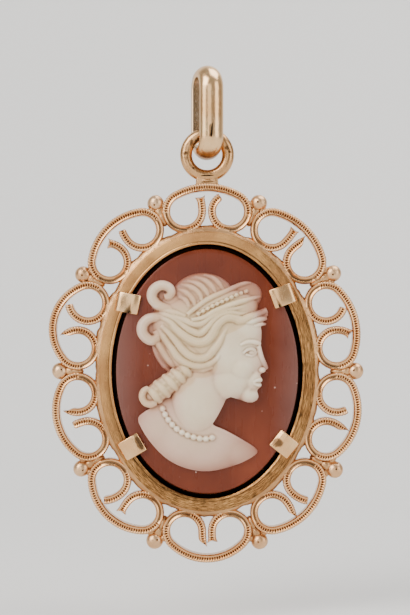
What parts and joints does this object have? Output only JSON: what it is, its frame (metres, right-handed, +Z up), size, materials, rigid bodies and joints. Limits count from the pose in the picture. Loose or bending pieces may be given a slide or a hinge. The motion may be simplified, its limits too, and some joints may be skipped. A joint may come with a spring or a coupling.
{
  "type": "cameo pendant",
  "caption": "Oval carved shell with a lady's profile, held by bent claws in a pierced scalloped gold frame, swinging on an oval bail.",
  "frame": {"origin": "middle of the top of the bail's inside, where the chain bears", "axes": "+Z up along the pendant, the carved face looks along -Y, +X to the viewer's right"},
  "size_m": [0.0228, 0.0045, 0.036],
  "materials": {
    "gold": "warm gold, polished, worn and brushed on the rim, with bead-grained grooves",
    "shell_ground": "red-brown carved shell, softly polished",
    "shell_figure": "ivory shell relief, satin, slightly translucent"
  },
  "bodies": {
    "bail": {"bail": "gold"},
    "pendant": {"frame": "gold", "cameo_ground": "shell_ground", "cameo_figure": "shell_figure"}
  },
  "joints": [
    {"name": "pendant_swing", "type": "hinge", "parent": "bail", "child": "pendant", "pos_m": [0, 0, -0.00426], "axis": [0.9613, 0.2756, 0], "range_deg": [-100, 100]}
  ]
}
